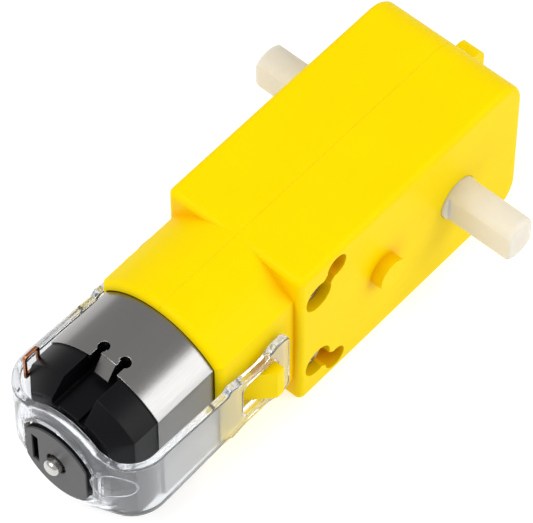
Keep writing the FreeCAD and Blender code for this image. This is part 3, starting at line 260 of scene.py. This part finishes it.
SLOT_OF = {
    "gearcase_screw_half": "yellow_plastic",
    "gearcase_tab_half": "yellow_plastic",
    "case_screws": "zinc_screw",
    "output_shaft": "nylon_white",
    "shaft_washers": "pin_steel",
    "crown_axle": "pin_steel",
    "idler_axle": "pin_steel",
    "crown_gear": "gear_white",
    "idler_gear": "gear_white",
    "output_gear": "gear_white",
    "motor_pinion": "brass",
    "motor_shaft": "pin_steel",
    "armature_core": "lamination_steel",
    "armature_windings": "copper",
    "commutator_sleeve": "black_plastic",
    "commutator_segments": "copper",
    "motor_can": "can_steel",
    "magnet_upper": "ferrite",
    "magnet_lower": "ferrite",
    "magnet_spring": "pin_steel",
    "front_bush": "bronze",
    "rear_bush": "bronze",
    "motor_end_cap": "black_plastic",
    "terminals": "copper",
    "brushes": "copper",
    "retaining_strap": "clear_plastic",
}
for node_name, slot_name in SLOT_OF.items():
    for held in NODES[node_name].material_slots:
        held.material = FINISHES[slot_name]


# ---------------------------------------------------------------- mesh building blocks

def piece(name, mesh, body, slot, *nodes):
    """An object that rides on a body, takes its slot's finish and stands for CAD nodes."""
    made = bpy.data.objects.new(name, mesh)
    bpy.context.scene.collection.objects.link(made)
    mesh.materials.clear()
    mesh.materials.append(FINISHES[slot])
    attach(made, body)
    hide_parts(*nodes)


LONGEST_ROUND = 0.48    # share of an outline's side that one corner's round may take
LEAST_MITRE = 0.5       # keeps the inset of a sharp corner from running away
SAME_CORNER = 1e-3      # corners nearer than this are joined
SAME_PLANE = 1e-4       # corners nearer than this to a cut lie on it


def round_corners(corners, steps=6):
    """A closed outline from (x, y, radius) corners, each rounded by its radius."""
    points = []
    for i, (x, y, radius) in enumerate(corners):
        here = Vector((x, y))
        before = Vector(corners[i - 1][:2]) - here
        after = Vector(corners[(i + 1) % len(corners)][:2]) - here
        if radius <= 0:
            points.append(here)
            continue
        half = before.angle(after) / 2
        room = LONGEST_ROUND * min(before.length, after.length)
        reach = min(radius / math.tan(half), room)
        radius = reach * math.tan(half)
        inward = (before.normalized() + after.normalized()).normalized()
        middle = here + inward * (radius / math.sin(half))
        first = here + before.normalized() * reach - middle
        turn = first.angle_signed(here + after.normalized() * reach - middle)
        for k in range(steps + 1):
            angle = -turn * k / steps
            points.append(middle + Matrix.Rotation(angle, 2) @ first)
    return points


def filled(outlines):
    """A flat mesh in XY inside the first closed outline and outside the others."""
    curve = bpy.data.curves.new("outline", "CURVE")
    curve.dimensions = "2D"
    curve.fill_mode = "BOTH"
    for outline in outlines:
        line = curve.splines.new("POLY")
        line.points.add(len(outline) - 1)
        for point, place in zip(line.points, outline):
            point.co = (place[0], place[1], 0, 1)
        line.use_cyclic_u = True
    holder = bpy.data.objects.new("outline", curve)
    mesh = bpy.data.meshes.new_from_object(holder)
    bpy.data.objects.remove(holder)
    bpy.data.curves.remove(curve)
    return mesh


def ring_line(half_wide, half_tall, steps=40):
    """A closed oval about the origin."""
    turns = [2 * math.pi * k / steps for k in range(steps)]
    return [Vector((half_wide * math.cos(turn), half_tall * math.sin(turn))) for turn in turns]


def inset(outline, amount, is_hole):
    """A closed outline moved into the material by an amount, square to its own line."""
    area = sum(a.x * b.y - b.x * a.y for a, b in zip(outline, outline[1:] + outline[:1]))
    side = (1 if area > 0 else -1) * (-1 if is_hole else 1)
    moved = []
    for i, here in enumerate(outline):
        before = (here - outline[i - 1]).normalized()
        after = (outline[(i + 1) % len(outline)] - here).normalized()
        along = (before + after).normalized()
        inward = Vector((-along.y, along.x)) * side
        moved.append(here + inward * (amount / max(LEAST_MITRE, along.dot(after))))
    return moved


def plate(outlines, thick, rim, steps=4):
    """A flat plate with rounded rims, outlined in X and Y and thick along Z.

    The first outline is the plate's own, and the others are holes in it.
    """
    shape = bmesh.new()
    quarter = [math.radians(90 * k / steps) for k in range(steps + 1)]
    upper = [(rim * (1 - math.sin(a)), thick / 2 - rim * (1 - math.cos(a))) for a in quarter]
    profile = upper + [(amount, -level) for amount, level in reversed(upper)]
    for level in (thick / 2, -thick / 2):
        sheet = filled([inset(line, rim, i > 0) for i, line in enumerate(outlines)])
        for vertex in sheet.vertices:
            vertex.co.z = level
        shape.from_mesh(sheet)
        bpy.data.meshes.remove(sheet)
    for i, line in enumerate(outlines):
        rings = []
        for amount, level in profile:
            rings.append([shape.verts.new((p.x, p.y, level)) for p in inset(line, amount, i > 0)])
        for ring, following in zip(rings, rings[1:]):
            for k in range(len(ring)):
                shape.faces.new((ring[k - 1], ring[k], following[k], following[k - 1]))
    bmesh.ops.remove_doubles(shape, verts=shape.verts, dist=SAME_CORNER)
    bmesh.ops.recalc_face_normals(shape, faces=shape.faces)
    return shape


def sliced(shape, direction, places):
    """Cut every face of a shape by planes square to a direction, so that it can be bent there."""
    for place in places:
        parts = shape.verts[:] + shape.edges[:] + shape.faces[:]
        at = Vector(direction) * place
        bmesh.ops.bisect_plane(shape, geom=parts, plane_co=at, plane_no=direction, dist=SAME_PLANE)


def as_mesh(name, shape, place):
    """A mesh in metres from a shape in millimetres, each corner moved by a function first."""
    for vertex in shape.verts:
        vertex.co = Vector(place(*vertex.co)) * MM
    if shape.calc_volume(signed=True) < 0:
        bmesh.ops.reverse_faces(shape, faces=shape.faces)
    made = bpy.data.meshes.new(name)
    shape.to_mesh(made)
    shape.free()
    return made


def eased(value):
    """0 to 1 with a soft start and end."""
    value = min(1.0, max(0.0, value))
    return value * value * (3 - 2 * value)


# ---------------------------------------------------------------- clear strap

STRAP_THICK = 1.0
STRAP_CORNER = 4.5          # outer radius of the two bends
STRAP_RIM = 0.26            # radius of the strap's edges

# Places along the strap, laid flat, from its front end
CLIP_END = 2.1
CLIP_WAIST = (4.3, 6.6)
CLIP_SHOULDER = 9.3
BAND_START = 9.9

# Half the strap's height at those places
CLIP_END_HALF = 4.9
CLIP_WAIST_HALF = (4.0, 4.1)
CLIP_SHOULDER_HALF = 4.7
BAND_START_HALF = 4.1
BAND_REAR_HALF = 4.6
DISC_RADIUS = 7.0           # the round part behind the motor

# The clip windows' ends are distances behind the output shaft
CLIP_WINDOW = (30.4, 35.7)
CLIP_WINDOW_HALF = 2.6
BOSS_WINDOW_RADIUS = 5.3
BOSS_WINDOW_HALF = 4.7      # half the distance between its flats

DOME_HEIGHT = 0.9
DOME_EDGE = 7.8             # distance from the disc's centre where the dome starts to rise
DOME_SLOPE = 2.6            # length over which it rises

MARK_PLACE = (0.76, 1.2)    # share of the way round the first bend, and height
BEND_CUTS = 24              # steps round each bend, and across the back
HEIGHT_CUT = 0.5            # spacing of the cuts that let the dome curve


def strap_sizes():
    """The line that the middle of the strap's thickness follows, from the CAD strap's box.

    In turn: where its front end, back and side lie, the radius of its bends, the lengths of a
    straight side, a bend and the flat back, and half its whole length.
    """
    low, high = box_of("retaining_strap")
    front = high.x
    back = low.x + STRAP_THICK / 2
    side = high.y - STRAP_THICK / 2
    bend = STRAP_CORNER - STRAP_THICK / 2
    straight = front - (back + bend)
    quarter = bend * math.pi / 2
    across = 2 * (side - bend)
    half_length = straight + quarter + across / 2
    return front, back, side, bend, straight, quarter, across, half_length


def strap_outline(straight, half_length):
    """The strap's edge, laid flat, as (place along, height, corner radius).

    It runs along a clip end and a band to the disc at the middle, and is the same on either side.
    """
    slope_end = straight - 1.0
    disc_foot = math.sqrt(DISC_RADIUS ** 2 - BAND_REAR_HALF ** 2)
    flare = 1.2
    degrees = range(-42, 43, 6)
    band = [
        (0, CLIP_END_HALF, 2.0),
        (CLIP_END, CLIP_END_HALF, 1.0),
        (CLIP_WAIST[0], CLIP_WAIST_HALF[0], 1.6),
        (CLIP_WAIST[1], CLIP_WAIST_HALF[1], 2.0),
        (CLIP_SHOULDER, CLIP_SHOULDER_HALF, 0.5),
        (BAND_START, BAND_START_HALF, 0.5),
        (slope_end, BAND_REAR_HALF, 3.0),
        (half_length - disc_foot - flare, BAND_REAR_HALF, 1.5),
    ]
    crown = [
        (half_length + DISC_RADIUS * math.sin(turn), DISC_RADIUS * math.cos(turn), 0)
        for turn in (math.radians(angle) for angle in degrees)
    ]
    upper = band + crown + [(2 * half_length - s, z, r) for s, z, r in reversed(band)]
    return upper + [(s, -z, r) for s, z, r in reversed(upper)]


def strap_windows(front, half_length):
    """The two clip windows and the flatted round window for the end cap's boss."""
    first, last = (front + place for place in CLIP_WINDOW)
    corner = 0.7
    windows = []
    for start, end in ((first, last), (2 * half_length - last, 2 * half_length - first)):
        sides = ((start, 1), (end, 1), (end, -1), (start, -1))
        windows.append([(s, side * CLIP_WINDOW_HALF, corner) for s, side in sides])
    steps = 12
    windows.append([
        (half_length + aside, side * math.sqrt(BOSS_WINDOW_RADIUS ** 2 - aside ** 2), 0)
        for side, order in ((1, range(-steps, steps + 1)), (-1, range(steps, -steps - 1, -1)))
        for aside in (BOSS_WINDOW_HALF * k / steps for k in order)
    ])
    return windows


def add_oval_mark(flat, along, up):
    """Raise a fine oval ring, as an ejector leaves, on the strap's outer face."""
    outer, inner = (2.3, 1.9), (2.1, 1.7)
    tall, rim = 0.16, 0.03
    mark = plate([ring_line(*outer), ring_line(*inner)], tall, rim)
    bmesh.ops.translate(mark, verts=mark.verts, vec=(along, up, STRAP_THICK / 2))
    raised = bpy.data.meshes.new("mark")
    mark.to_mesh(raised)
    mark.free()
    flat.from_mesh(raised)
    bpy.data.meshes.remove(raised)


def strap_mesh():
    """The strap laid out flat along its length, trimmed, then bent round the motor and domed at the rear."""
    front, back, side, bend, straight, quarter, across, half_length = strap_sizes()
    outlines = [strap_outline(straight, half_length)] + strap_windows(front, half_length)
    flat = plate([round_corners(line) for line in outlines], STRAP_THICK, STRAP_RIM)
    round_bend, height = MARK_PLACE
    add_oval_mark(flat, straight + round_bend * quarter, height)

    along, up = (1, 0, 0), (0, 1, 0)
    for start in (straight, half_length + across / 2):
        sliced(flat, along, [start + quarter * k / BEND_CUTS for k in range(BEND_CUTS + 1)])
    rear_start = half_length - across / 2
    sliced(flat, along, [rear_start + across * k / BEND_CUTS for k in range(1, BEND_CUTS)])
    highest = math.ceil(DISC_RADIUS / HEIGHT_CUT) - 1
    sliced(flat, up, [HEIGHT_CUT * k for k in range(-highest, highest + 1)])

    def bent(s, z, level):
        """Where a point of the flat strap ends up, from its place along, its height and its level."""
        mirrored = s > half_length
        run = 2 * half_length - s if mirrored else s
        reach = math.hypot(s - half_length, z)
        level += DOME_HEIGHT * eased((DOME_EDGE - reach) / DOME_SLOPE)
        if run <= straight:
            x, y = front - run, -side - level
        elif run <= straight + quarter:
            turn = (run - straight) / bend
            x = back + bend - (bend + level) * math.sin(turn)
            y = -side + bend - (bend + level) * math.cos(turn)
        else:
            x, y = back - level, -side + bend + (run - straight - quarter)
        return x, -y if mirrored else y, z

    return as_mesh("strap_clear", flat, bent)


piece("strap_clear", strap_mesh(), "gearcase", "clear_plastic", "retaining_strap")


# ---------------------------------------------------------------- motor terminals

def terminal_loops():
    """Two open copper loops that stand out of the end cap, one upwards and one downwards."""
    low, high = box_of("terminals")
    strip = 0.36
    foot = 5.2
    eye_foot = foot + 0.6
    rim = 0.10
    rear, front, tip = low.x, high.x, high.z
    outline = [(rear, foot, 0.1), (rear, tip, 0.5), (front, tip, 0.5), (front, foot, 0.1)]
    eye = [
        (rear + strip, eye_foot, 0.2), (rear + strip, tip - strip, 0.35),
        (front - strip, tip - strip, 0.35), (front - strip, eye_foot, 0.2),
    ]
    loop = plate([round_corners(outline), round_corners(eye)], high.y - low.y, rim)
    copy = bmesh.ops.duplicate(loop, geom=loop.verts[:] + loop.edges[:] + loop.faces[:])["geom"]
    for part in copy:
        if isinstance(part, bmesh.types.BMVert):
            part.co.y = -part.co.y
    bmesh.ops.reverse_faces(loop, faces=[part for part in copy if isinstance(part, bmesh.types.BMFace)])
    middle = (low.y + high.y) / 2
    return as_mesh("terminal_loops", loop, lambda x, z, level: (x, middle + level, z))


piece("terminal_loops", terminal_loops(), "gearcase", "copper", "terminals")


# ---------------------------------------------------------------- camera, light and floor

def light(name, towards, distance, size, radiance):
    """A square soft light seen from the object in one direction, with a set brightness."""
    lamp = bpy.data.lights.new(name, "AREA")
    lamp.shape = "SQUARE"
    lamp.size = size
    lamp.energy = radiance * math.pi * size ** 2
    made = bpy.data.objects.new(name, lamp)
    bpy.context.scene.collection.objects.link(made)
    direction = Vector(towards).normalized()
    made.location = CENTRE + direction * distance
    made.rotation_euler = direction.to_track_quat("Z", "Y").to_euler()


def studio():
    """Even daylight, two soft lamps and a pale floor under the lowest point."""
    scene = bpy.context.scene
    scene.view_settings.view_transform = "Standard"
    world = bpy.data.worlds.new("studio")
    world.use_nodes = True
    sky = world.node_tree.nodes["Background"]
    sky.inputs["Color"].default_value = (*grey(1.0), 1)
    sky.inputs["Strength"].default_value = 0.6
    scene.world = world
    light("key", towards=(0.42, -0.73, 0.54), distance=0.6, size=0.36, radiance=3.4)
    light("fill", towards=(-0.52, 0.15, 0.84), distance=0.8, size=0.5, radiance=5.0)

    half = 3.0
    mesh = bpy.data.meshes.new("floor")
    level = CAD_BOX[0][2]
    corners = [(-half, -half, level), (half, -half, level), (half, half, level), (-half, half, level)]
    mesh.from_pydata(corners, [], [(0, 1, 2, 3)])
    floor = bpy.data.objects.new("floor", mesh)
    scene.collection.objects.link(floor)
    paper = bpy.data.materials.new("pale_paper")
    paper.use_nodes = True
    tree = paper.node_tree
    shader = tree.nodes["Principled BSDF"]
    patch = 40
    tint = blended(tree, spread(tree, noise(tree, patch), 0, 1), grey(0.55), grey(0.58))
    tree.links.new(tint, shader.inputs["Base Color"])
    shader.inputs["Roughness"].default_value = 0.9
    shader.inputs["Specular IOR Level"].default_value = 0.1
    shader.inputs["Emission Color"].default_value = (*grey(1.0), 1)
    shader.inputs["Emission Strength"].default_value = 0.62
    mesh.materials.append(paper)


CAMERA_PLACE = (-204.531, -162.098, 353.679)
CAMERA_RIGHT = (0.66115, -0.75025, -0.00064)
CAMERA_AHEAD = (0.42768, 0.37759, -0.82128)


def camera():
    """A long lens above and behind the motor, on its -Y side, that looks forward and down."""
    lens = bpy.data.cameras.new("camera")
    lens.sensor_fit = "HORIZONTAL"
    lens.sensor_width = 36
    lens.lens = 267.80
    lens.clip_end = 20
    made = bpy.data.objects.new("camera", lens)
    bpy.context.scene.collection.objects.link(made)
    right = Vector(CAMERA_RIGHT).normalized()
    ahead = Vector(CAMERA_AHEAD).normalized()
    up = right.cross(ahead).normalized()
    right = ahead.cross(up)
    turn = Matrix((right, up, -ahead)).transposed()
    made.matrix_world = Matrix.Translation(Vector(CAMERA_PLACE) * MM) @ turn.to_4x4()
    bpy.context.scene.camera = made


CENTRE = (Vector(CAD_BOX[0]) + Vector(CAD_BOX[1])) / 2
studio()
camera()
